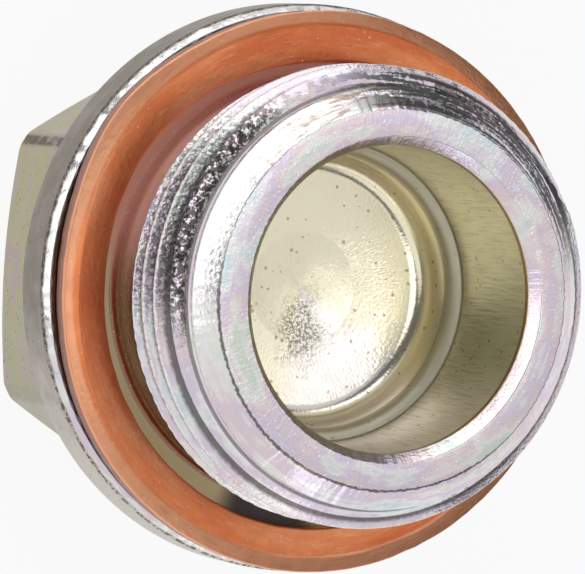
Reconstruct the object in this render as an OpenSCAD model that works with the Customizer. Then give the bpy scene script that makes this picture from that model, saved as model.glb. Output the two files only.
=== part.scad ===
// Oil drain plug: hexagon head, flange, relieved shank, threaded nose with a blind recess,
// and a loose flat sealing washer that lies on the flange. All sizes in millimetres.
// The axis is Z. The plug stands on the end of its head at z = 0 and its nose points up.

/* [Head] */
// Hexagon size across flats
hex_af = 24; // [22:0.5:25]
// Height of the hexagon, up to the back edge of the flange
hex_len = 10.6; // [9:0.2:15]
// Angle of the chamfer on the hexagon's end, from the end face
hex_chamfer_angle = 35; // [20:1:45]
// How far the flat end face stays inside the flats
hex_end_inset = 0.6; // [0:0.1:2]
// Depth rounded off each long corner by forging and wear
hex_corner_off = 0.25; // [0.05:0.05:0.6]

/* [Flange] */
// How much larger the flange is than the washer, in radius
flange_lip = 0.2; // [0.1:0.05:2]
// Thickness of the flange
flange_t = 3; // [2:0.1:4]
// Bevel on the front edge of the rim
flange_bevel = 0.4; // [0.2:0.05:0.8]
// Small break on the back edge of the rim
flange_break = 0.12; // [0.05:0.01:0.25]
// Height of the sloped back that runs down onto the hexagon
flange_back_h = 0.7; // [0.3:0.1:1.2]

/* [Thread] */
// Length of the nose, from the flange face to the end face
nose_len = 10.6; // [10:0.1:13]
// Radius over the thread crests
thread_r = 12; // [11.5:0.1:12.5]
// Pitch of the thread
pitch = 1.5; // [1:0.25:2]
// Length of the smooth shank, without the run-out
shank_len = 3.6; // [3:0.1:4]
// How far the shank lies below the bottom of the thread
shank_under = 0.08; // [0.02:0.01:0.4]
// Fillet between the shank and the flange
shank_fillet = 0.5; // [0.1:0.05:0.7]
// Length of the tapered run-out from shank to thread
runout_len = 0.9; // [0.5:0.1:1.2]
// Length of the plain land between the nose bevel and the first turn
land_len = 0.6; // [0.2:0.05:1]
// How far that land lies below the bottom of the thread
land_under = 0.21; // [0.05:0.01:0.5]
// Length of the chamfer that starts the thread
lead_len = 0.75; // [0.5:0.05:1.5]
// Height of the nose bevel
nose_bevel_h = 0.95; // [0.6:0.05:1.4]
// Width of the nose bevel
nose_bevel_w = 1.1; // [0.6:0.05:1.4]

/* [Recess] */
// Wall of the hollow nose, from the bottom of the thread to the upper wall of the recess
nose_wall = 3.18; // [2.7:0.02:4]
// Width of the bevel round the mouth
mouth_bevel_w = 0.55; // [0.2:0.05:0.8]
// Depth of the bevel round the mouth
mouth_bevel_h = 0.6; // [0.3:0.05:1]
// Depth of the shoulder where the recess narrows
shoulder_depth = 8.1; // [5:0.1:8.4]
// Width of the shoulder
shoulder_w = 0.7; // [0.5:0.05:1]
// Fillet in the corner of the shoulder
shoulder_fillet = 0.4; // [0.1:0.05:0.4]
// Break on the inner edge of the shoulder
shoulder_break = 0.15; // [0.05:0.05:0.2]
// Depth of the recess at the edge of its floor
recess_depth = 11; // [10:0.1:12]
// Radius of the fillet round the floor
floor_fillet = 1.1; // [0.5:0.1:1.4]
// Depth of the shallow cone in the floor
floor_cone = 0.2; // [0.1:0.05:0.4]
// Radius of the small dish in the middle of the floor
dish_r = 3; // [2:0.1:4]
// Depth of that dish
dish_depth = 0.2; // [0.1:0.05:0.4]

/* [Washer] */
// Clearance of the washer's hole over the thread
washer_clear = 0.45; // [0.1:0.05:0.6]
// Width of the ring, from its hole to its outer edge
washer_w = 2.35; // [2:0.05:3]
// Thickness of the washer
washer_t = 1.5; // [1:0.1:2]
// Width of the worn bevel round the washer's outer edge
washer_bevel_w = 0.7; // [0.2:0.05:1]
// Height of that bevel
washer_bevel_h = 0.15; // [0.05:0.05:0.3]
// Small break of the edges of the hole and of the lower rim
washer_edge = 0.12; // [0.05:0.01:0.2]
// How far the loose washer has slid along X
washer_off_x = 0.2; // [-0.5:0.05:0.5]
// How far the loose washer has slid along Y
washer_off_y = -0.1; // [-0.5:0.05:0.5]

/* [Hidden] */
fine = 96;                                // facets of a full turn of a turned face
turn_facets = 48;                         // facets of one turn of the thread
tooth_h = pitch * sqrt(3) / 2;            // height of a sharp 60 degree tooth
root_r = thread_r - tooth_h * 17 / 24;    // bottom of the thread
sharp_r = thread_r + tooth_h / 8;         // where neighbouring flanks would meet
groove_r = sharp_r - 0.012;               // the groove is cut from just inside that line
shank_r = root_r - shank_under;
washer_hole_r = thread_r + washer_clear;
washer_r = washer_hole_r + washer_w;
flange_r = washer_r + flange_lip;
recess_r = root_r - nose_wall;
land_r = root_r - land_under;
nose_face_r = land_r - nose_bevel_w;
flange_z = hex_len + flange_t;            // sealing face of the flange
shank_top_z = flange_z + shank_len;
thread_low_z = shank_top_z + runout_len;  // full thread radius from here
nose_z = flange_z + nose_len;             // end face of the nose
land_top_z = nose_z - nose_bevel_h;
land_low_z = land_top_z - land_len;
thread_top_z = land_low_z - lead_len;     // to here
hex_end_r = hex_af / 2 - hex_end_inset;
hex_corner_r = hex_af / sqrt(3) - hex_corner_off;
hex_chamfer_h = (hex_corner_r - hex_end_r) * tan(hex_chamfer_angle);
hex_top_z = flange_z - flange_bevel;      // the prism ends inside the flange
mouth_r = recess_r + mouth_bevel_w;
low_wall_r = recess_r - shoulder_w;
shoulder_z = nose_z - shoulder_depth;
floor_z = nose_z - recess_depth;
floor_r = low_wall_r - floor_fillet;
overrun = 1;                              // how far a cut runs past the face it opens
eps = 0.01;

// Fills the corner at [r, r] of a quarter turn about the origin.
module corner_fill(r) {
    difference() {
        square([r + eps, r + eps]);
        circle(r, $fn = fine);
    }
}

// Hexagon prism, its end chamfered and its long corners eased by one turned envelope.
module hexagon() {
    intersection() {
        rotate([0, 0, 30])
            cylinder(r = hex_af / sqrt(3), h = hex_top_z, $fn = 6);
        rotate_extrude($fn = fine)
            polygon([[0, 0], [hex_end_r, 0], [hex_corner_r, hex_chamfer_h],
                     [hex_corner_r, hex_top_z], [0, hex_top_z]]);
    }
}

// Flange, shank and nose as one turned profile, before the recess and the thread are cut.
module turned_body() {
    rotate_extrude($fn = fine) {
        polygon([
            [0, hex_len - flange_back_h],
            [hex_af / 2, hex_len - flange_back_h],
            [flange_r - flange_break, hex_len - flange_break / 2],
            [flange_r, hex_len + flange_break],
            [flange_r, flange_z - flange_bevel],
            [flange_r - flange_bevel, flange_z],
            [shank_r, flange_z],
            [shank_r, shank_top_z],
            [thread_r, thread_low_z],
            [thread_r, thread_top_z],
            [land_r, land_low_z],
            [land_r, land_top_z],
            [nose_face_r, nose_z],
            [0, nose_z]
        ]);
        translate([shank_r + shank_fillet, flange_z + shank_fillet])
            rotate(180) corner_fill(shank_fillet);
    }
}

// The groove between the turns: a trapezium swept up a right-hand helix. It starts over the
// smooth shank and leaves above the nose, so both ends of the thread run out as they are cut.
module thread_groove() {
    low = shank_top_z - pitch / 2;
    steps = ceil((nose_z - shank_top_z + pitch) / pitch * turn_facets);
    mouth_w = pitch / 2 - (sharp_r - groove_r) / sqrt(3);
    root_w = pitch / 2 - (sharp_r - root_r) / sqrt(3);
    section = [[groove_r, -mouth_w], [groove_r, mouth_w], [root_r, root_w], [root_r, -root_w]];
    points = [for (i = [0:steps]) let (turn = i / turn_facets, a = 360 * turn)
              for (p = section) [p[0] * cos(a), p[0] * sin(a), low + p[1] + pitch * turn]];
    sides = [for (i = [0:steps - 1]) for (k = [0:3]) let (a = 4 * i + k, b = 4 * i + (k + 1) % 4)
             each [[a, b, b + 4], [a, b + 4, a + 4]]];
    polyhedron(points, concat([[3, 2, 1, 0]], sides, [[for (k = [0:3]) 4 * steps + k]]));
}

// Blind recess: bevelled mouth, upper wall, shoulder, lower wall, filleted and dished floor.
module recess() {
    rotate_extrude($fn = fine)
        difference() {
            polygon([
                [0, floor_z - floor_cone - dish_depth],
                [dish_r, floor_z - floor_cone],
                [floor_r, floor_z],
                [low_wall_r, floor_z],
                [low_wall_r, shoulder_z - shoulder_break],
                [low_wall_r + shoulder_break, shoulder_z],
                [recess_r, shoulder_z],
                [recess_r, nose_z - mouth_bevel_h],
                [mouth_r, nose_z],
                [mouth_r, nose_z + overrun],
                [0, nose_z + overrun]
            ]);
            translate([floor_r, floor_z + floor_fillet])
                mirror([0, 1]) corner_fill(floor_fillet);
            translate([recess_r - shoulder_fillet, shoulder_z + shoulder_fillet])
                mirror([0, 1]) corner_fill(shoulder_fillet);
        }
}

module plug() {
    color([0.74, 0.74, 0.72])
        difference() {
            union() {
                hexagon();
                turned_body();
            }
            recess();
            thread_groove();
        }
}

module washer() {
    color([0.80, 0.47, 0.30])
        translate([washer_off_x, washer_off_y, flange_z])
            rotate_extrude($fn = fine)
                polygon([
                    [washer_hole_r + washer_edge, 0],
                    [washer_r - washer_edge, 0],
                    [washer_r, washer_edge],
                    [washer_r, washer_t - washer_bevel_h],
                    [washer_r - washer_bevel_w, washer_t],
                    [washer_hole_r + washer_edge, washer_t],
                    [washer_hole_r, washer_t - washer_edge],
                    [washer_hole_r, washer_edge]
                ]);
}

plug();
washer();
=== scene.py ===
# Oil drain plug with its loose copper washer, dressed for rendering.
# Lengths in the dictionaries are in millimetres, the same values as the CAD source.
import bpy
import math
import numpy as np
from mathutils import Matrix, Vector


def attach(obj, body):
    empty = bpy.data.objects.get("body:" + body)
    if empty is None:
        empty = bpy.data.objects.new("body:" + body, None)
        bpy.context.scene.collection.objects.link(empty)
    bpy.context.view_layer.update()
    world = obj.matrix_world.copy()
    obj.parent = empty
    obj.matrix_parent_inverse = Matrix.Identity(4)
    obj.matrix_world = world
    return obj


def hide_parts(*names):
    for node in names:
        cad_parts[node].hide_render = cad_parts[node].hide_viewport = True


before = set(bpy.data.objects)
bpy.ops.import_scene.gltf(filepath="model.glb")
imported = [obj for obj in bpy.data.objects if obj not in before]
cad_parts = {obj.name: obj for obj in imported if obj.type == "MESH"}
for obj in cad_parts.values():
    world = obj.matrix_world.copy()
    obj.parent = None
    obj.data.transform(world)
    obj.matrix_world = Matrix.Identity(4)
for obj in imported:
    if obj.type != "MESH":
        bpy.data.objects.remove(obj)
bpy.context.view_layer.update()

mm = 0.001
tau = 2 * math.pi
scene = bpy.context.scene
scene.view_settings.view_transform = "Standard"


def rounded(points, segments=5):
    # Polyline of (r, z, fillet radius); returns (r, z) with each corner turned into an arc.
    out = []
    for i, (r, z, f) in enumerate(points):
        if f <= 0 or i in (0, len(points) - 1):
            out.append((r, z))
            continue
        p = np.array((r, z))
        a = np.array(points[i - 1][:2]) - p
        b = np.array(points[i + 1][:2]) - p
        la, lb = np.hypot(*a), np.hypot(*b)
        a, b = a / la, b / lb
        half = math.acos(max(-1, min(1, float(a @ b)))) / 2
        t = min(f / math.tan(half), la * 0.49, lb * 0.49)
        f = t * math.tan(half)
        mid = (a + b) / np.hypot(*(a + b))
        centre = p + mid * (f / math.sin(half))
        v0 = p + a * t - centre
        v1 = p + b * t - centre
        a0 = math.atan2(v0[1], v0[0])
        turn = (math.atan2(v1[1], v1[0]) - a0 + math.pi) % tau - math.pi
        for k in range(segments + 1):
            g = a0 + turn * k / segments
            out.append((centre[0] + f * math.cos(g), centre[1] + f * math.sin(g)))
    return out


def wander(seed, low, high, count=14):
    # Smooth unevenness round a full turn, about -1 to 1, the same on every run.
    rng = np.random.default_rng(seed)
    waves = rng.integers(low, high, count)
    shifts = rng.uniform(0, tau, count)
    sizes = rng.uniform(0.4, 1, count)
    sizes /= math.sqrt(float((sizes ** 2).sum()))
    return lambda a: float((sizes * np.sin(waves * a + shifts)).sum())


def bump(a, centre, width):
    # A smooth rise of height 1 round an angle given in degrees.
    off = (math.degrees(a) - centre + 180) % 360 - 180
    return math.exp(-0.5 * (off / width) ** 2)


class Shell:
    # Collects grids of points as one mesh, sharing the points that coincide.
    def __init__(self):
        self.index, self.points, self.faces = {}, [], []

    def point(self, p):
        key = tuple(round(c * 1e5) for c in p)
        if key not in self.index:
            self.index[key] = len(self.points)
            self.points.append(tuple(c * mm for c in p))
        return self.index[key]

    def face(self, corners):
        ring = []
        for c in corners:
            if c not in ring:
                ring.append(c)
        if len(ring) > 2:
            self.faces.append(ring)

    def grid(self, rows):
        ids = [[self.point(p) for p in row] for row in rows]
        for lower, upper in zip(ids, ids[1:]):
            for j in range(len(lower) - 1):
                self.face((lower[j], lower[j + 1], upper[j + 1], upper[j]))

    def build(self, name):
        mesh = bpy.data.meshes.new(name)
        mesh.from_pydata(self.points, [], self.faces)
        mesh.update()
        for polygon in mesh.polygons:
            polygon.use_smooth = True
        piece = bpy.data.objects.new(name, mesh)
        scene.collection.objects.link(piece)
        return piece


def turned(columns, profileAt):
    # Rows of points for a profile that may change with the angle.
    angles = [tau * j / columns for j in range(columns)] + [0.0]
    profiles = [profileAt(a) for a in angles[:-1]]
    profiles.append(profiles[0])
    return [[(p[i][0] * math.cos(a), p[i][0] * math.sin(a), p[i][1]) for a, p in zip(angles, profiles)]
            for i in range(len(profiles[0]))]


def weighted(piece):
    # Flat faces keep flat shading right up to their small rounded edges.
    mod = piece.modifiers.new("flatShading", "WEIGHTED_NORMAL")
    mod.weight = 60
    bpy.context.view_layer.objects.active = piece
    piece.select_set(True)
    bpy.ops.object.modifier_apply(modifier=mod.name)
    piece.select_set(False)
    return piece


plugLook = {
    "hexAcross": 24, "hexLen": 10.6, "hexChamferAngle": 35, "hexEndInset": 0.6, "hexCornerOff": 0.25,
    "flangeR": 15, "flangeT": 3, "flangeBevel": 0.4, "flangeBackH": 0.7,
    "noseLen": 10.6, "threadR": 12, "pitch": 1.5, "shankLen": 3.6, "shankUnder": 0.08, "shankFillet": 0.5,
    "runoutLen": 0.9, "landLen": 0.6, "landUnder": 0.21, "leadLen": 0.75,
    "noseBevelH": 0.95, "noseBevelW": 1.1,
    "recessR": 7.9, "mouthBevelW": 0.55, "mouthBevelH": 0.6, "shoulderDepth": 8.1, "shoulderW": 0.7,
    "recessDepth": 11, "floorFillet": 1.1,
    "floorCone": 0.2, "dishR": 3, "dishDepth": 0.2,
    "columns": 480,
    "flangeRagged": 0.04,   # unevenness of the bevel on the flange
    "noseRagged": 0.03,     # unevenness of the outer edge of the nose
    "mouthRagged": 0.012,   # unevenness of the mouth
    "mouthWear": 0.5,       # how much narrower the mouth bevel is on the -X side
    "crestWear": 0.025,     # how far the crests are worn and dented
}


def makePlug(s):
    toothH = s["pitch"] * math.sqrt(3) / 2
    rootR = s["threadR"] - toothH * 17 / 24
    sharpR = s["threadR"] + toothH / 8
    shankR = rootR - s["shankUnder"]
    landR = rootR - s["landUnder"]
    faceR = landR - s["noseBevelW"]
    flangeR = s["flangeR"]
    flangeZ = s["hexLen"] + s["flangeT"]
    shankTop = flangeZ + s["shankLen"]
    threadLow = shankTop + s["runoutLen"]
    noseZ = flangeZ + s["noseLen"]
    landTop = noseZ - s["noseBevelH"]
    landLow = landTop - s["landLen"]
    threadTop = landLow - s["leadLen"]
    endR = s["hexAcross"] / 2 - s["hexEndInset"]
    cornerR = s["hexAcross"] / math.sqrt(3) - s["hexCornerOff"]
    lowR = s["recessR"] - s["shoulderW"]
    shoulderZ = noseZ - s["shoulderDepth"]
    floorZ = noseZ - s["recessDepth"]
    slope = math.tan(math.radians(s["hexChamferAngle"]))
    flat = s["hexAcross"] / 2
    bevelIn, bevelOut = wander(11, 20, 150), wander(12, 15, 120)
    noseOuter, landEdge = wander(13, 20, 160), wander(14, 20, 140)
    mouthEdge, crestDents = wander(15, 12, 110), wander(17, 25, 170)

    def hexRadius(a):  # flats face +X and -X, the long corners are eased
        off = (a + math.pi / 6) % (math.pi / 3) - math.pi / 6
        soft = 0.03
        q = flat / math.cos(off)
        return -soft * math.log(math.exp(-(q - flat) / soft) + math.exp(-(cornerR - flat) / soft)) + flat

    def headProfile(a):
        r = hexRadius(a)
        backZ = s["hexLen"] - s["flangeBackH"] * (flangeR - r) / (flangeR - flat)
        low = flangeZ - s["flangeBevel"] - 0.02 + s["flangeRagged"] * bevelOut(a)
        edge = flangeR - s["flangeBevel"] + s["flangeRagged"] * bevelIn(a)
        return rounded([
            (0, 0, 0), (endR, 0, 0.25), (r, (r - endR) * slope, 0.3), (r, backZ, 0.35),
            (flangeR, s["hexLen"], 0.14), (flangeR, low, 0.09),
            (edge, flangeZ, 0.08), (shankR, flangeZ, s["shankFillet"]),
            (shankR, shankTop, 0)])

    def noseProfile(a):
        worn = 1 - s["mouthWear"] * bump(a, 180, 55)
        mouth = s["recessR"] + s["mouthBevelW"] * worn + s["mouthRagged"] * mouthEdge(a)
        outer = faceR + s["noseRagged"] * noseOuter(a)
        return rounded([
            (landR, landLow, 0), (landR, landTop + 0.02 * landEdge(a), 0.1),
            (outer, noseZ, 0.1), (mouth, noseZ, 0.1),
            (s["recessR"], noseZ - s["mouthBevelH"] * worn, 0.12)] + shoulder + [
            (lowR, floorZ, s["floorFillet"]), (s["dishR"], floorZ - s["floorCone"], 0.3)] + dish)

    # the edge of the shoulder is well rounded, and the dish in the floor is hollow like a shallow bowl
    shoulder = [(s["recessR"] - s["shoulderW"] * math.sin(math.pi * k / 16),
                 shoulderZ - s["shoulderW"] * (1 - math.cos(math.pi * k / 16)), 0) for k in range(9)]
    dish = [(s["dishR"] * k / 8, floorZ - s["floorCone"] - s["dishDepth"] * (1 - (k / 8) ** 2), 0)
            for k in range(7, -1, -1)]

    def envelope(z):
        return float(np.interp(z, [shankTop, threadLow, threadTop, landLow],
                               [shankR, s["threadR"], s["threadR"], landR]))

    halfPitch = s["pitch"] / 2
    rootW = halfPitch - (sharpR - rootR) / math.sqrt(3)  # half the flat at the bottom of the groove
    flankW = halfPitch - rootW
    grooveLow = shankTop - halfPitch                     # groove centre at angle 0, as in the source
    teeth = range(-2, int((noseZ - shankTop) / s["pitch"]) + 3)

    def crest(zc, side, worn):
        # where the flank meets the turned outline, found by halving
        low, high = rootR + 0.001, s["threadR"] - worn
        for k in range(14):
            r = (low + high) / 2
            w = flankW - (r - rootR) / math.sqrt(3)
            if envelope(zc + side * w) - worn > r:
                low = r
            else:
                high = r
        return flankW - (low - rootR) / math.sqrt(3), low

    def threadProfile(a, turn):
        out = []
        for n in teeth:
            zc = grooveLow + s["pitch"] * (n + 0.5 + turn)
            # each turn carries on from the one before, so its wear is read along the helix
            worn = max(0, s["crestWear"] * (0.5 + 0.7 * crestDents(a) * math.sin(2.3 * (n + turn))))
            wLow, rLow = crest(zc, -1, worn)
            wTop, rTop = crest(zc, 1, worn)
            tooth = rounded([
                (rootR, zc - halfPitch, 0), (rootR, zc - flankW, 0.12), (rLow, zc - wLow, 0.04),
                (rTop, zc + wTop, 0.04), (rootR, zc + flankW, 0.12), (rootR, zc + halfPitch, 0)], 3)
            for r, z in tooth:
                z = min(max(z, shankTop), landLow)
                out.append((min(r, envelope(z)), z))
        return out

    shell = Shell()
    n = s["columns"]
    shell.grid(turned(n, headProfile))
    shell.grid(turned(n, noseProfile))
    profiles = [threadProfile(tau * (j % n) / n, j / n) for j in range(n + 1)]
    cosines = [(math.cos(tau * (j % n) / n), math.sin(tau * (j % n) / n)) for j in range(n + 1)]
    shell.grid([[(p[i][0] * c, p[i][0] * sn, p[i][1]) for p, (c, sn) in zip(profiles, cosines)]
                for i in range(len(profiles[0]))])
    return shell.build("plugBody")


plug = weighted(makePlug(plugLook))
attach(plug, "root")
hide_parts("plug")
print("plug body made:", len(plug.data.polygons), "faces")


washerLook = {
    "holeR": 12.45, "outerR": 14.8, "thick": 1.5, "bevelW": 0.8, "bevelH": 0.15, "edge": 0.12,
    "lowerRound": 0.3, "offX": 0.2, "offY": -0.1, "seatZ": 13.6, "columns": 480,
    # where the soft ring has been pushed out of round: angle and width in degrees, outward shift
    "outerDents": ((143, 10, 0.33), (184, 12, -0.1)),
    "holeDents": ((150, 12, 0.14), (98, 17, -0.36)),
    "lift": (184, 34, 0.16),
}


def makeWasher(s):
    outerEdge, holeEdge, crease = wander(21, 3, 60), wander(22, 3, 50), wander(23, 2, 30)

    def profile(a):
        out = s["outerR"] + sum(d * bump(a, c, w) for c, w, d in s["outerDents"]) - 0.015 * abs(outerEdge(a))
        hole = s["holeR"] + sum(d * bump(a, c, w) for c, w, d in s["holeDents"]) + 0.012 * holeEdge(a)
        fold = s["outerR"] - s["bevelW"] + 0.5 * (out - s["outerR"]) + 0.02 * crease(a)
        up = s["lift"][2] * bump(a, *s["lift"][:2])
        high = s["thick"] + up
        return rounded([
            (hole + 0.3, up, 0), (out - 0.06, up, s["lowerRound"]), (out, high - s["bevelH"] - 0.02, 0.1),
            (fold, high, 0.35), (hole, high, s["edge"]), (hole, up, s["edge"]), (hole + 0.3, up, 0)])

    rows = turned(s["columns"], profile)
    shell = Shell()
    shell.grid([[(x + s["offX"], y + s["offY"], z + s["seatZ"]) for x, y, z in row] for row in rows])
    return shell.build("sealingWasher")


washer = weighted(makeWasher(washerLook))
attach(washer, "root")
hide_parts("washer")
print("washer made:", len(washer.data.polygons), "faces")


class Sketch:
    # Short ways to add nodes to one tree.
    def __init__(self, tree):
        self.tree, self.nodes, self.links = tree, tree.nodes, tree.links

    def feed(self, socket, value):
        if isinstance(value, bpy.types.NodeSocket):
            self.links.new(value, socket)
        elif value is not None:
            socket.default_value = value

    def math(self, operation, a, b=None, clamp=False):
        node = self.nodes.new("ShaderNodeMath")
        node.operation, node.use_clamp = operation, clamp
        self.feed(node.inputs[0], a)
        self.feed(node.inputs[1], b)
        return node.outputs[0]

    def plus(self, a, b):
        return self.math("ADD", a, b)

    def times(self, a, b):
        return self.math("MULTIPLY", a, b)

    def lean(self, value, by):
        # A 0 to 1 noise as an offset of up to half of by to both sides
        return self.times(self.math("SUBTRACT", value, 0.5), by)

    def scaled(self, vector, by):
        node = self.nodes.new("ShaderNodeVectorMath")
        node.operation = "SCALE"
        self.feed(node.inputs[0], vector)
        self.feed(node.inputs["Scale"], by)
        return node.outputs[0]

    def join(self, x, y, z):
        node = self.nodes.new("ShaderNodeCombineXYZ")
        for socket, value in zip(node.inputs, (x, y, z)):
            self.feed(socket, value)
        return node.outputs[0]

    def split(self, vector):
        node = self.nodes.new("ShaderNodeSeparateXYZ")
        self.feed(node.inputs[0], vector)
        return node.outputs

    def turnedPlace(self):
        # The place in mm, its radius from the axis, its height, and its direction round the axis.
        coords = self.nodes.new("ShaderNodeTexCoord")
        place = self.scaled(coords.outputs["Object"], 1000)
        x, y, z = self.split(place)
        radius = self.math("SQRT", self.plus(self.times(x, x), self.times(y, y)))
        safe = self.math("MAXIMUM", radius, 0.01)
        return place, radius, z, self.math("DIVIDE", x, safe), self.math("DIVIDE", y, safe)

    def remap(self, value, low, high, newLow=0.0, newHigh=1.0):
        node = self.nodes.new("ShaderNodeMapRange")
        node.interpolation_type = "SMOOTHSTEP"
        for name, v in (("Value", value), ("From Min", low), ("From Max", high),
                        ("To Min", newLow), ("To Max", newHigh)):
            self.feed(node.inputs[name], v)
        return node.outputs["Result"]

    def window(self, value, low, high, soft):
        # 1 from low to high, fading out over soft on both sides
        return self.times(self.remap(value, low - soft, low), self.remap(value, high + soft, high))

    def noise(self, vector, scale, detail=2.0, roughness=0.5):
        node = self.nodes.new("ShaderNodeTexNoise")
        self.feed(node.inputs["Vector"], vector)
        self.feed(node.inputs["Scale"], scale)
        self.feed(node.inputs["Detail"], detail)
        self.feed(node.inputs["Roughness"], roughness)
        return node.outputs["Fac"]

    def cells(self, vector, scale):
        node = self.nodes.new("ShaderNodeTexVoronoi")
        self.feed(node.inputs["Vector"], vector)
        self.feed(node.inputs["Scale"], scale)
        return node.outputs["Distance"]

    def ramp(self, value, stops):
        node = self.nodes.new("ShaderNodeValToRGB")
        band = node.color_ramp.elements
        for k, (place, colour) in enumerate(stops):
            stop = band[k] if k < 2 else band.new(place)
            stop.position = place
            stop.color = (*colour, 1)
        self.feed(node.inputs[0], value)
        return node.outputs["Color"]

    def mix(self, amount, a, b, kind="MIX"):
        node = self.nodes.new("ShaderNodeMix")
        node.data_type, node.blend_type = "RGBA", kind
        self.feed(node.inputs["Factor"], amount)
        for name, value in (("A", a), ("B", b)):
            socket = [i for i in node.inputs if i.name == name and i.type == "RGBA"][0]
            self.feed(socket, (*value, 1) if isinstance(value, tuple) else value)
        return [o for o in node.outputs if o.type == "RGBA"][0]

    def blend(self, amount, a, b):
        # The same for plain values
        node = self.nodes.new("ShaderNodeMix")
        for socket, value in zip((node.inputs[0], node.inputs[2], node.inputs[3]), (amount, a, b)):
            self.feed(socket, value)
        return node.outputs[0]

    def group(self, tree, **values):
        node = self.nodes.new("ShaderNodeGroup")
        node.node_tree = tree
        for name, value in values.items():
            self.feed(node.inputs[name], value)
        return node.outputs[0]

    def bumps(self, height, strength, distance, normal=None):
        node = self.nodes.new("ShaderNodeBump")
        self.feed(node.inputs["Strength"], strength)
        node.inputs["Distance"].default_value = distance * mm
        self.feed(node.inputs["Height"], height)
        if normal is not None:
            self.feed(node.inputs["Normal"], normal)
        return node.outputs["Normal"]


def newGroup(name, output, **inputs):
    # A shader node group with number sockets; returns its sketch and its two ends.
    tree = bpy.data.node_groups.new(name, "ShaderNodeTree")
    for label, value in inputs.items():
        socket = tree.interface.new_socket(name=label, in_out="INPUT", socket_type="NodeSocketFloat")
        socket.default_value = value
    tree.interface.new_socket(name=output, in_out="OUTPUT", socket_type="NodeSocketFloat")
    sketch = Sketch(tree)
    return sketch, tree.nodes.new("NodeGroupInput").outputs, tree.nodes.new("NodeGroupOutput").inputs[0]


def makeTurnedGrain():
    # Noise that follows the turned form: high "round" makes streaks along it, high "along" makes rings.
    g, given, out = newGroup("turnedGrain", "Value", round=8.0, along=2.5, detail=2.0)
    place, radius, height, x, y = g.turnedPlace()
    scale = g.times(given["round"], 11.0)
    along = g.times(g.math("SUBTRACT", radius, height), given["along"])
    g.feed(out, g.noise(g.join(g.times(x, scale), g.times(y, scale), along), 1.0, given["detail"], 0.55))
    return g.tree


def makeFlecks():
    # Small scattered spots in loose clusters: 1 inside a spot.
    g, given, out = newGroup("flecks", "Mask", perMm=2.0, size=0.2, share=0.3)
    place = g.turnedPlace()[0]
    wobble = g.noise(place, g.times(given["perMm"], 3.0), 2.0)
    spots = g.plus(g.cells(place, given["perMm"]), g.lean(wobble, 0.3))
    spot = g.remap(spots, given["size"], g.times(given["size"], 0.5))
    patches = g.noise(place, g.times(given["perMm"], 0.35), 2.0)
    start = g.math("SUBTRACT", 0.68, g.times(given["share"], 0.4))
    g.feed(out, g.times(spot, g.remap(patches, start, g.plus(start, 0.05))))
    return g.tree


turnedGrain = makeTurnedGrain()
flecks = makeFlecks()


zincLook = {
    "roughness": 0.22, "headRoughness": 0.42, "recessRoughness": 0.36, "floorRoughness": 0.17,
    "streakHeight": 0.03, "grainHeight": 0.035, "forgeHeight": 0.05,
    "lilac": (0.68, 0.61, 0.74), "skyBlue": (0.60, 0.69, 0.74), "pink": (0.76, 0.63, 0.66),
    "greenish": (0.64, 0.71, 0.64), "straw": (0.76, 0.73, 0.60), "bright": (0.80, 0.79, 0.78),
    "bevelHighlight": (0.88, 0.88, 0.87), "fleck": (1.0, 1.0, 0.98),
    "olive": (0.44, 0.41, 0.24), "mauve": (0.46, 0.37, 0.36), "headGrey": (0.42, 0.40, 0.31),
    "rimGrey": (0.24, 0.21, 0.17), "rimMauve": (0.31, 0.25, 0.25), "rimHighlight": (0.60, 0.56, 0.50),
    "recessCream": (0.95, 0.88, 0.68), "recessHighlight": (0.96, 0.90, 0.85),
    "shoulderGrey": (0.52, 0.49, 0.38), "wallScore": (0.42, 0.38, 0.28), "recessOlive": (0.78, 0.76, 0.56), "seat": (1.0, 0.95, 0.54),
    "seatCopperReflection": (0.42, 0.08, 0.03), "copperReflection": (0.92, 0.52, 0.40),
    "shankBrown": (0.50, 0.30, 0.19),
    "brownTone": (0.40, 0.28, 0.20), "shadeAndMarks": (0.10, 0.09, 0.09), "reddishBrown": (0.42, 0.26, 0.12),
    "scuff": (0.13, 0.10, 0.09), "darkRings": (0.03, 0.03, 0.028),
}


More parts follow.
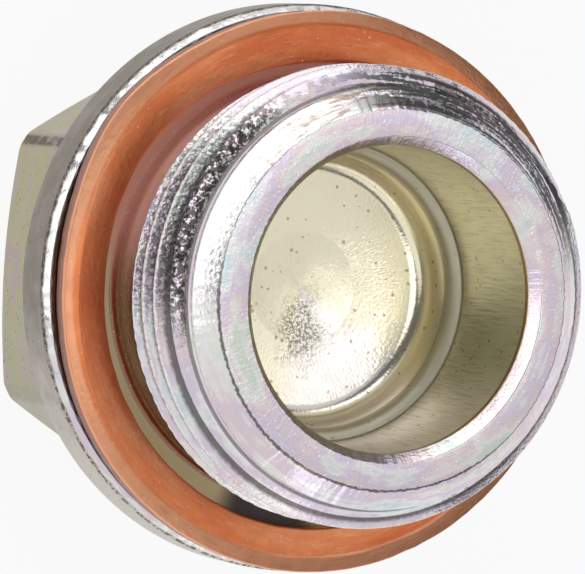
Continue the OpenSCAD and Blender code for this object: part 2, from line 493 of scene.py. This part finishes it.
def makeZinc(s):
    mat = bpy.data.materials.new("zincPlate")
    mat.use_nodes = True
    g = Sketch(mat.node_tree)
    bsdf = g.nodes["Principled BSDF"]
    place, radius, height, x, y = g.turnedPlace()

    inRecess = g.times(g.remap(radius, 8.2, 7.95), g.remap(height, 23.75, 23.55))
    onHead = g.times(g.remap(height, 13.35, 13.2), g.remap(radius, 8.5, 9.0))
    onRim = g.times(onHead, g.remap(radius, 14.8, 14.95))
    onSeat = g.times(g.window(height, 13.5, 13.65, 0.06), g.window(radius, 11.3, 13.4, 0.4))
    onShank = g.times(g.window(height, 13.7, 17.3, 0.3), g.window(radius, 10.9, 11.35, 0.1))
    onFace = g.times(g.remap(height, 24.1, 24.17), g.window(radius, 8.4, 9.85, 0.1))
    onFloor = g.times(inRecess, g.remap(height, 13.6, 13.4))
    onThread = g.times(g.window(height, 17.0, 22.5, 0.2), g.remap(radius, 10.9, 11.0))
    onBevels = g.plus(g.times(g.window(radius, 9.9, 10.95, 0.1), g.remap(height, 23.1, 23.3)),
                      g.times(g.remap(radius, 14.3, 14.5), g.window(height, 13.15, 13.7, 0.05)))

    # interference tints of the passivated zinc
    slow = g.noise(place, 0.22, 2.0, 0.45)
    fine = g.noise(place, 0.9, 3.0, 0.5)
    rings = g.group(turnedGrain, round=0.12, along=1.2, detail=2.0)
    film = g.plus(g.times(slow, 0.4), g.plus(g.times(fine, 0.2), g.times(rings, 0.4)))
    tint = g.ramp(film, [(0.35, s["skyBlue"]), (0.66, s["straw"]), (0.41, s["bright"]), (0.46, s["lilac"]),
                         (0.51, s["pink"]), (0.56, s["bright"]), (0.61, s["greenish"])])
    # painted highlight: the bevels of the nose and the flange are paler towards -X +Y
    highlightSide = g.remap(g.plus(g.times(x, -0.8), g.times(y, 0.6)), 0.3, 0.7)
    tint = g.mix(g.times(g.times(onBevels, 0.7), highlightSide), tint, s["bevelHighlight"])
    headTint = g.ramp(film, [(0.36, s["mauve"]), (0.62, s["mauve"]), (0.46, s["headGrey"]), (0.54, s["olive"])])
    rimTint = g.ramp(film, [(0.4, s["rimMauve"]), (0.55, s["rimGrey"])])
    # painted highlight: the rim of the flange is paler towards -Y
    rimTint = g.mix(g.remap(g.plus(y, g.lean(fine, 0.3)), 0.0, -0.75), rimTint, s["rimHighlight"])
    # painted light: the recess is bright cream in its depth, olive near its mouth, and paler towards +X -Y
    recessTint = g.mix(g.remap(height, 14.0, 19.0), s["recessCream"], s["recessOlive"])
    recessHighlightSide = g.remap(g.plus(g.times(x, 0.42), g.times(y, -0.91)), 0.72, 0.97)
    recessTint = g.mix(recessHighlightSide, recessTint, s["recessHighlight"])
    colour = g.mix(onHead, tint, headTint)
    colour = g.mix(onRim, colour, rimTint)
    colour = g.mix(inRecess, colour, recessTint)

    # the seat is straw yellow towards -Y; towards +Y the seat is painted brown and the shank pink, a painted
    # reflection of the copper ring; the shank is brown towards -Y
    upper = g.remap(y, -0.15, 0.35)
    # painted shadow: the end of the seat strip towards -Y is black
    seatShadow = g.remap(g.plus(g.times(x, -0.124), g.times(y, -0.992)), 0.962, 0.990)
    copperReflected = g.mix(g.remap(radius, 12.2, 11.8), s["seatCopperReflection"], s["copperReflection"])
    colour = g.mix(g.times(onSeat, 0.9), colour, g.mix(upper, s["seat"], copperReflected))
    colour = g.mix(g.times(onSeat, seatShadow), colour, s["shadeAndMarks"])
    colour = g.mix(g.times(onShank, 0.8), colour, g.mix(upper, s["shankBrown"], s["copperReflection"]))
    salt = g.group(flecks, perMm=3.0, size=0.2, share=0.9)
    colour = g.mix(g.times(g.times(onShank, salt), 0.8), colour, (0.95, 0.93, 0.90))
    # painted shadow: a dark line on the flange face just outside the ring
    washerContactShadow = g.times(g.window(height, 13.5, 13.7, 0.06), g.window(radius, 14.0, 14.62, 0.04))
    colour = g.mix(g.times(washerContactShadow, 0.9), colour, s["shadeAndMarks"])

    # crests rubbed bare and painted near-white as a highlight; bottoms of the thread painted dark as shade
    grit = g.noise(place, 4.0, 3.0, 0.65)
    reach = g.plus(radius, g.lean(grit, 0.2))
    crests = g.times(g.times(onThread, g.remap(reach, 11.88, 11.98)), g.remap(grit, 0.38, 0.52))
    colour = g.mix(crests, colour, (0.96, 0.96, 0.95))
    outline = g.math("SUBTRACT", 12.0, g.times(g.math("SUBTRACT", height, 21.9), 1.507))
    below = g.remap(g.math("SUBTRACT", outline, radius), 0.06, 0.16)
    deep = g.times(g.times(onThread, below), g.remap(reach, 11.74, 11.5))
    colour = g.mix(g.times(deep, 0.85), colour, s["shadeAndMarks"])
    # painted dark reflection: the start of the thread is speckled dark on the -X side
    shaded = g.remap(g.plus(g.times(x, -0.92), g.times(y, 0.39)), 0.78, 0.94)
    lead = g.times(g.times(g.window(height, 21.7, 22.6, 0.1), g.remap(radius, 10.95, 11.05)), shaded)
    colour = g.mix(g.times(lead, g.remap(grit, 0.60, 0.48)), colour, s["shadeAndMarks"])
    # the flanks below the crests on that side carry the same painted dark reflection
    worn = g.times(g.times(onThread, shaded), g.remap(reach, 11.92, 11.8))
    colour = g.mix(g.times(worn, g.remap(grit, 0.56, 0.44, 0.0, 0.6)), colour, s["shadeAndMarks"])
    # painted shade: a dark line in the crease under the land, all round
    corner = g.times(g.window(height, 22.58, 22.72, 0.06), g.window(radius, 10.8, 11.0, 0.08))
    colour = g.mix(g.times(corner, 0.7), colour, s["shadeAndMarks"])

    # brown streaky marks on the -X +Y side of the top of the nose
    towards = g.plus(g.times(x, -0.42), g.times(y, 0.91))
    brownToneStreaks = g.group(turnedGrain, round=0.7, along=3.5, detail=3.0)
    brownTonePatch = g.times(g.window(radius, 9.9, 11.2, 0.2), g.remap(height, 22.2, 22.8))
    brownTonePatch = g.times(g.times(brownTonePatch, g.remap(towards, 0.86, 0.97)), g.remap(brownToneStreaks, 0.50, 0.62))
    colour = g.mix(g.times(brownTonePatch, 0.8), colour, s["brownTone"])

    # near-black ring marks on the outer side of the nose, towards +X +Y
    darkRingSide = g.plus(g.times(x, 0.5), g.times(y, 0.86))
    darkRingPatch = g.times(g.window(radius, 9.95, 11.6, 0.15), g.remap(height, 21.2, 21.8))
    darkRings = g.plus(g.times(g.group(turnedGrain, round=0.25, along=3.2, detail=3.0), 0.7), g.times(grit, 0.3))
    darkRingPatch = g.times(g.times(darkRingPatch, g.remap(darkRingSide, 0.55, 0.88)), g.remap(darkRings, 0.43, 0.49))
    colour = g.mix(g.times(darkRingPatch, 0.9), colour, s["darkRings"])

    # the shoulder is rougher than the walls and painted darker as shade, and the upper wall has short scores
    # along it
    onShoulder = g.times(inRecess, g.window(height, 15.35, 16.12, 0.15))
    colour = g.mix(g.times(onShoulder, 0.75), colour, s["shoulderGrey"])
    scoring = g.group(turnedGrain, round=5.0, along=0.5, detail=2.0)
    onWall = g.times(inRecess, g.remap(height, 16.0, 16.4))
    colour = g.mix(g.times(g.times(onWall, g.remap(scoring, 0.50, 0.64)), 0.3), colour, s["wallScore"])

    # thin reddish-brown line under the mouth bevel on the +X side, and small brown specks in the recess
    rim = g.times(g.window(height, 23.4, 23.62, 0.08), g.remap(radius, 8.3, 8.1))
    colour = g.mix(g.times(rim, g.remap(x, -0.2, 0.6)), colour, s["reddishBrown"])
    spots = g.group(flecks, perMm=1.5, size=0.17, share=0.7)
    colour = g.mix(g.times(g.times(spots, inRecess), 0.75), colour, s["reddishBrown"])

    # dull rough patch low on the recess floor
    spotX, spotY, spotZ = g.split(place)
    awayX = g.math("DIVIDE", g.math("SUBTRACT", spotX, 0.15), 1.8)
    awayY = g.math("DIVIDE", g.plus(spotY, 2.3), 2.3)
    away = g.math("SQRT", g.plus(g.times(awayX, awayX), g.times(awayY, awayY)))
    patch = g.times(onFloor, g.remap(g.plus(away, g.lean(fine, 1.2)), 1.15, 0.3))
    crumbs = g.noise(place, 6.5, 3.0, 0.6)
    colour = g.mix(g.times(patch, g.remap(crumbs, 0.44, 0.58)), colour, (0.36, 0.34, 0.26))
    colour = g.mix(g.times(patch, g.remap(crumbs, 0.40, 0.33)), colour, (0.95, 0.93, 0.85))

    # one long corner of the hexagon is scuffed dark, the others a little
    corner = g.times(onHead, g.times(g.remap(radius, 13.54, 13.61), g.remap(height, 10.4, 10.0)))
    corner = g.times(corner, g.remap(radius, 14.2, 13.8))
    oneCorner = g.remap(g.plus(g.times(x, -0.866), g.times(y, 0.5)), 0.9996, 0.9999, 0.12, 1.0)
    scuffed = g.times(g.times(corner, oneCorner), g.remap(g.noise(place, 1.3, 3.0, 0.6), 0.3, 0.55, 0.4, 1.0))
    colour = g.mix(g.times(scuffed, 0.85), colour, s["scuff"])

    # dark pin-holes in the plating of the head
    pits = g.group(flecks, perMm=2.2, size=0.2, share=0.8)
    colour = g.mix(g.times(g.times(pits, onHead), 0.5), colour, s["shadeAndMarks"])

    # dark nicks along the outer edge of the flange bevel
    nicks = g.times(g.window(height, 13.10, 13.26, 0.04), g.remap(radius, 14.85, 14.92))
    nicks = g.times(nicks, g.remap(grit, 0.54, 0.46))
    colour = g.mix(g.times(nicks, 0.85), colour, s["shadeAndMarks"])

    # bright flecks scattered over the nose face
    sparks = g.group(flecks, perMm=3.4, size=0.2, share=0.75)
    colour = g.mix(g.times(g.times(sparks, onFace), 0.8), colour, s["fleck"])

    # dark broken line where the nose face meets its bevel
    line = g.times(g.window(g.plus(radius, g.lean(grit, 0.25)), 9.76, 9.84, 0.05), g.remap(height, 23.9, 24.05))
    line = g.times(line, g.remap(g.plus(g.times(x, -0.45), g.times(y, -0.89)), 0.15, 0.6))
    colour = g.mix(g.times(line, 0.85), colour, s["shadeAndMarks"])
    g.feed(bsdf.inputs["Base Color"], colour)
    dull = g.math("MAXIMUM", g.times(onShank, upper), onSeat)
    dull = g.math("MAXIMUM", dull, crests)
    g.feed(bsdf.inputs["Metallic"], g.blend(dull, 1.0, 0.2))

    rough = g.blend(onHead, s["roughness"], s["headRoughness"])
    rough = g.blend(inRecess, rough, s["recessRoughness"])
    rough = g.blend(onFloor, rough, s["floorRoughness"])
    rough = g.blend(onSeat, rough, 0.45)
    rough = g.blend(onShoulder, rough, 0.5)
    rough = g.plus(rough, g.lean(fine, 0.2))
    rough = g.math("ADD", rough, g.times(g.plus(scuffed, darkRingPatch), 0.15), clamp=True)
    g.feed(bsdf.inputs["Roughness"], rough)

    # short streaks and fine crystals of the zinc, calmer on the nose face and in the recess
    streak = g.group(turnedGrain, round=6.0, along=2.6, detail=2.0)
    calm = g.math("MAXIMUM", g.math("MAXIMUM", onFace, inRecess), g.times(onBevels, 0.6))
    first = g.bumps(streak, g.blend(calm, 0.5, 0.2), s["streakHeight"])
    grain = g.noise(place, 5.5, 2.0, 0.5)
    grainHere = g.blend(calm, 0.5, 0.16)
    grainHere = g.blend(onHead, grainHere, 0.3)
    grainHere = g.math("MAXIMUM", g.blend(onSeat, grainHere, 0.1), patch)
    second = g.bumps(grain, grainHere, s["grainHeight"], first)
    forge = g.noise(place, 1.6, 4.0, 0.55)
    third = g.bumps(forge, g.times(onHead, 0.5), s["forgeHeight"], second)
    turning = g.group(turnedGrain, round=0.25, along=6.0, detail=2.0)
    fourth = g.bumps(turning, g.times(inRecess, 0.3), 0.006, third)
    g.feed(bsdf.inputs["Normal"], g.bumps(scoring, g.times(onWall, 0.7), 0.03, fourth))
    return mat


copperLook = {
    "face": (0.80, 0.26, 0.105), "deep": (0.70, 0.18, 0.07), "pale": (0.86, 0.37, 0.19),
    "bevel": (0.93, 0.47, 0.28), "speck": (0.97, 0.80, 0.66), "side": (0.34, 0.17, 0.12), "roughness": 0.36, "grainHeight": 0.02,
}


def makeCopper(s):
    mat = bpy.data.materials.new("softCopper")
    mat.use_nodes = True
    g = Sketch(mat.node_tree)
    bsdf = g.nodes["Principled BSDF"]
    place, radius, height, x, y = g.turnedPlace()
    clouds = g.group(turnedGrain, round=0.12, along=0.5, detail=4.0)
    colour = g.ramp(clouds, [(0.36, s["deep"]), (0.66, s["pale"]), (0.5, s["face"])])
    # painted highlight: the bevel of the ring is paler; its outer side is darker
    bevel = g.times(g.remap(radius, 13.95, 14.15), g.remap(height, 14.7, 14.85))
    colour = g.mix(g.times(bevel, 0.7), colour, s["bevel"])
    onSide = g.times(g.remap(height, 14.95, 14.75), g.remap(radius, 14.2, 14.5))
    colour = g.mix(onSide, colour, s["side"])
    marks = g.group(turnedGrain, round=0.5, along=4.0, detail=3.0)
    colour = g.mix(g.times(g.remap(marks, 0.62, 0.75), 0.5), colour, s["deep"])
    specks = g.group(flecks, perMm=2.4, size=0.11, share=0.5)
    colour = g.mix(g.times(specks, 0.6), colour, s["speck"])
    bsdf.inputs["Metallic"].default_value = 1.0
    g.feed(bsdf.inputs["Roughness"], g.plus(s["roughness"], g.lean(g.noise(place, 1.2, 3.0), 0.2)))
    streaks = g.group(turnedGrain, round=0.9, along=7.0, detail=4.0)
    colour = g.mix(g.times(g.remap(streaks, 0.56, 0.70), 0.3), colour, s["deep"])
    colour = g.mix(g.times(g.remap(streaks, 0.42, 0.30), 0.35), colour, s["bevel"])
    g.feed(bsdf.inputs["Base Color"], colour)
    grain = g.group(turnedGrain, round=5.0, along=4.0, detail=3.0)
    first = g.bumps(grain, 0.8, s["grainHeight"])
    g.feed(bsdf.inputs["Normal"], g.bumps(streaks, 0.35, s["grainHeight"], first))
    return mat


plug.data.materials.append(makeZinc(zincLook))
washer.data.materials.append(makeCopper(copperLook))
print("materials made")


studioLook = {
    "floorSize": 1.2, "floorColour": 0.9, "floorGlow": 0.9, "worldGrey": 0.13,
    # softboxes: azimuth and elevation in degrees, distance, width and height in metres, brightness
    "boxes": {
        "leftBox": (150, 25, 0.50, 0.84, 0.19, 1.6),
        "upperBox": (90, 28, 0.45, 0.36, 0.42, 1.35),
        "faceBox": (-14, 64, 0.55, 0.34, 0.34, 0.62),
        "farBox": (38, 62, 0.50, 0.24, 0.24, 0.5),
        "floorBox": (10, 76, 0.50, 0.07, 0.07, 1.4),
        "topBox": (200, 82, 0.50, 0.22, 0.22, 1.5),
        "lowerBox": (238, 32, 0.50, 0.84, 0.68, 0.72),
        "frontBox": (292, 14, 0.50, 0.44, 0.30, 0.7),
    },
}


def makeFloor(s):
    half = s["floorSize"] / 2
    mesh = bpy.data.meshes.new("studioFloor")
    mesh.from_pydata([(-half, -half, 0), (half, -half, 0), (half, half, 0), (-half, half, 0)], [], [(0, 1, 2, 3)])
    floor = bpy.data.objects.new("studioFloor", mesh)
    scene.collection.objects.link(floor)
    mat = bpy.data.materials.new("paleFloor")
    mat.use_nodes = True
    g = Sketch(mat.node_tree)
    bsdf = g.nodes["Principled BSDF"]
    bsdf.inputs["Base Color"].default_value = (s["floorColour"],) * 3 + (1,)
    bsdf.inputs["Roughness"].default_value = 0.9
    glow = g.nodes.new("ShaderNodeEmission")
    glow.inputs["Strength"].default_value = 1.0
    path = g.nodes.new("ShaderNodeLightPath")
    seen = g.math("MAXIMUM", path.outputs["Is Camera Ray"], path.outputs["Is Glossy Ray"])
    seen = g.math("MAXIMUM", seen, path.outputs["Is Transmission Ray"])
    mix = g.nodes.new("ShaderNodeMixShader")
    g.feed(mix.inputs["Fac"], g.times(seen, s["floorGlow"]))
    g.feed(mix.inputs[1], bsdf.outputs[0])
    g.feed(mix.inputs[2], glow.outputs[0])
    g.feed(g.nodes["Material Output"].inputs["Surface"], mix.outputs[0])
    mesh.materials.append(mat)


def makeLight(s):
    world = bpy.data.worlds.new("studioWorld")
    scene.world = world
    world.use_nodes = True
    back = world.node_tree.nodes["Background"]
    back.inputs["Color"].default_value = (s["worldGrey"],) * 3 + (1,)
    back.inputs["Strength"].default_value = 1.0
    for name, (azimuth, elevation, away, wide, tall, bright) in s["boxes"].items():
        a, e = math.radians(azimuth), math.radians(elevation)
        place = Vector((math.cos(a) * math.cos(e), math.sin(a) * math.cos(e), math.sin(e))) * away
        data = bpy.data.lights.new(name, "AREA")
        data.shape = "RECTANGLE"
        data.size, data.size_y = wide, tall
        data.energy = bright * math.pi * wide * tall  # so that the box looks this bright
        lamp = bpy.data.objects.new(name, data)
        lamp.location = place + Vector((0, 0, 0.02))
        lamp.rotation_euler = (-place).to_track_quat("-Z", "Y").to_euler()
        scene.collection.objects.link(lamp)


def makeCamera():
    data = bpy.data.cameras.new("photoCamera")
    data.sensor_width = 36
    data.lens = 350.77
    data.clip_start = 0.01
    data.clip_end = 5
    camera = bpy.data.objects.new("photoCamera", data)
    scene.collection.objects.link(camera)
    right = Vector((0.90603, 0.06904, 0.41755))
    up = Vector((-0.05052, 0.99719, -0.05527))
    back = Vector((-0.4202, 0.02898, 0.90697))
    turn = Matrix((right, up, back)).transposed()
    camera.matrix_world = Matrix.Translation(Vector((-0.127031, 0.008742, 0.285916))) @ turn.to_4x4()
    scene.camera = camera


makeFloor(studioLook)
makeLight(studioLook)
makeCamera()
print("floor, lamps and camera set")
